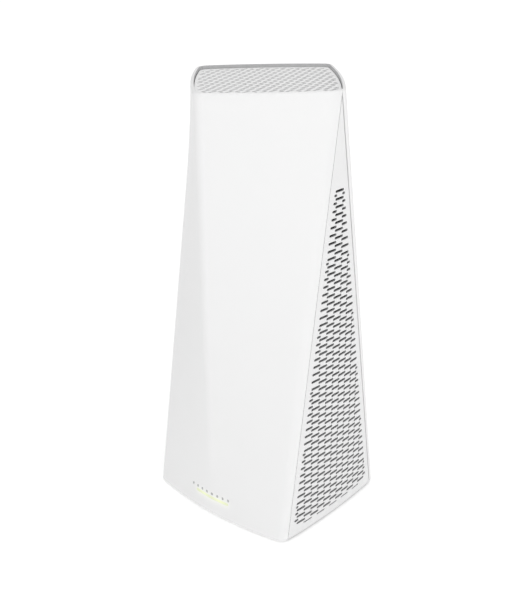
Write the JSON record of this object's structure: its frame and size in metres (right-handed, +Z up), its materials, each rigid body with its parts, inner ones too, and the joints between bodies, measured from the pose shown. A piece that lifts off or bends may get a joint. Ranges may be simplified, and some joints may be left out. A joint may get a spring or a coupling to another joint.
{
  "type": "mesh wifi node",
  "caption": "Tower-shaped home wifi node that twists from a broad foot to a square perforated top, with slotted side panels, a status light and rear sockets.",
  "frame": {"origin": "middle of the foot plane, under the tower's axis", "axes": "+Z up; front with the status light towards -Y; perforated side panels towards +X and -X; sockets and buttons towards +Y"},
  "size_m": [0.1034, 0.1072, 0.25],
  "materials": {
    "shell": "fine matte moulding",
    "side_panel": "fine matte moulding",
    "grille": "fine matte moulding",
    "tray": "matte moulding",
    "bezel": "matte moulding",
    "rubber": "soft matte",
    "label": "satin film",
    "screw": "zinc plated",
    "light_bar": "translucent, lit pale yellow-green",
    "circuit_board": "solder mask",
    "led": "moulded lens",
    "cable": "flat ribbon",
    "dark_plastic": "moulded",
    "plated_contact": "gold plated",
    "button": "moulded",
    "chip": "moulded package",
    "thermal_pad": "soft silicone",
    "heatsink_metal": "extruded",
    "coil": "ferrite",
    "can_metal": "drawn can",
    "frame_plastic": "moulded",
    "shield_metal": "folded and plated",
    "antenna_board": "printed copper on laminate",
    "coax": "thin jacket"
  },
  "bodies": {
    "housing": {"amplifier_chips": "chip", "antenna_front_left": "antenna_board", "antenna_front_right": "antenna_board", "antenna_rear_left": "antenna_board", "antenna_rear_right": "antenna_board", "base_screws": "screw", "base_tray": "tray", "board_connector": "dark_plastic", "capacitors": "can_metal", "coax_lead_front_left": "coax", "coax_lead_front_right": "coax", "coax_lead_rear_left": "coax", "coax_lead_rear_right": "coax", "coax_sockets": "plated_contact", "ethernet_jack_1_contacts": "plated_contact", "ethernet_jack_1_insert": "dark_plastic", "ethernet_jack_1_shield": "shield_metal", "ethernet_jack_2_contacts": "plated_contact", "ethernet_jack_2_insert": "dark_plastic", "ethernet_jack_2_shield": "shield_metal", "front_shell": "shell", "heatsink": "heatsink_metal", "heatsink_screws": "screw", "inner_frame": "frame_plastic", "left_side_panel": "side_panel", "light_board": "circuit_board", "light_cable": "cable", "line_transformers": "dark_plastic", "main_board": "circuit_board", "memory_chips": "chip", "port_bezel": "bezel", "port_board": "circuit_board", "port_board_screws": "screw", "power_coils": "coil", "power_jack": "dark_plastic", "power_jack_pin": "plated_contact", "processor": "chip", "radio_chips": "chip", "rating_label": "label", "rear_shell": "shell", "reset_switch": "dark_plastic", "rf_shield_lower": "shield_metal", "rf_shield_middle": "shield_metal", "rf_shield_upper": "shield_metal", "right_side_panel": "side_panel", "rubber_feet": "rubber", "status_leds": "led", "status_light_bar": "light_bar", "sync_switch": "dark_plastic", "thermal_pads": "thermal_pad", "top_grille": "grille"},
    "sync_button": {"sync_button": "button", "sync_plunger": "dark_plastic"},
    "reset_button": {"reset_button": "button"}
  },
  "joints": [
    {"name": "sync_press", "type": "slide", "parent": "housing", "child": "sync_button", "axis": [0, -1, 0], "range_m": [0, 0.001], "stiffness_N_per_m": 400},
    {"name": "reset_press", "type": "slide", "parent": "housing", "child": "reset_button", "axis": [0, -1, 0], "range_m": [0, 0.0005], "stiffness_N_per_m": 400}
  ]
}
